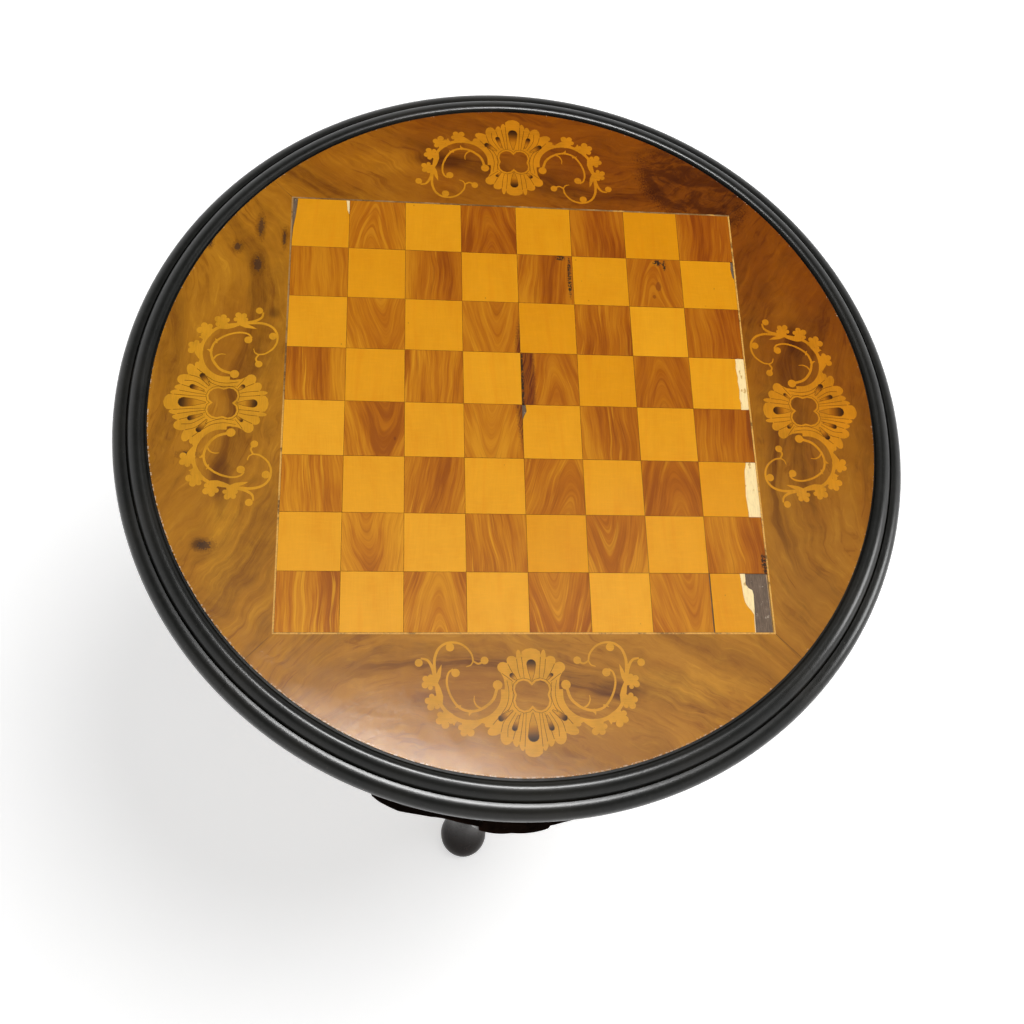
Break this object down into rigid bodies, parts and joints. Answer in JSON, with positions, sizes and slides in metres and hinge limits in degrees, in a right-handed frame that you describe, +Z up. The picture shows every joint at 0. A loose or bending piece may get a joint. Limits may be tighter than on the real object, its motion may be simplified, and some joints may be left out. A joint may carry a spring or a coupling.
{
  "type": "games table",
  "caption": "Round games table with an inlaid chessboard, mitred burr walnut surround, ebonised moulded rim, shaped apron and cabriole legs.",
  "frame": {"origin": "on the floor under the middle of the round top", "axes": "+Z up, +X to the right along a board rank, +Y to the far player's side; the front is -Y"},
  "size_m": [0.6064, 0.6064, 0.7016],
  "materials": {
    "satinwood": "old polish",
    "olivewood": "old polish",
    "boxwood": "old polish",
    "inlay_maple": "old polish",
    "burr_walnut": "old polish",
    "ebonised_rim": "satin black polish",
    "ebonised_walnut": "dark polish",
    "apron_walnut": "dark polish",
    "pine": "bare",
    "oak": "bare",
    "steel": "aged"
  },
  "bodies": {
    "root": {"apron_back_left": "apron_walnut", "apron_back_right": "apron_walnut", "apron_front_left": "apron_walnut", "apron_front_right": "apron_walnut", "bearer_front_back": "pine", "bearer_left_right": "pine", "cartouche_back": "inlay_maple", "cartouche_front": "inlay_maple", "cartouche_left": "inlay_maple", "cartouche_right": "inlay_maple", "core_board_1": "pine", "core_board_2": "pine", "core_board_3": "pine", "core_board_4": "pine", "core_board_5": "pine", "core_tongues": "oak", "dark_squares": "olivewood", "glue_block_back_left_a": "oak", "glue_block_back_left_b": "oak", "glue_block_back_right_a": "oak", "glue_block_back_right_b": "oak", "glue_block_front_left_a": "oak", "glue_block_front_left_b": "oak", "glue_block_front_right_a": "oak", "glue_block_front_right_b": "oak", "knee_bracket_back_left": "ebonised_walnut", "knee_bracket_back_right": "ebonised_walnut", "knee_bracket_front_left": "ebonised_walnut", "knee_bracket_front_right": "ebonised_walnut", "knee_bracket_left_left": "ebonised_walnut", "knee_bracket_left_right": "ebonised_walnut", "knee_bracket_right_left": "ebonised_walnut", "knee_bracket_right_right": "ebonised_walnut", "leg_back": "ebonised_walnut", "leg_front": "ebonised_walnut", "leg_left": "ebonised_walnut", "leg_right": "ebonised_walnut", "light_squares": "satinwood", "rim_back": "ebonised_rim", "rim_front": "ebonised_rim", "rim_left": "ebonised_rim", "rim_right": "ebonised_rim", "stringing_back": "boxwood", "stringing_front": "boxwood", "stringing_left": "boxwood", "stringing_right": "boxwood", "top_screws": "steel", "walnut_panel_back": "burr_walnut", "walnut_panel_front": "burr_walnut", "walnut_panel_left": "burr_walnut", "walnut_panel_right": "burr_walnut"}
  },
  "joints": []
}
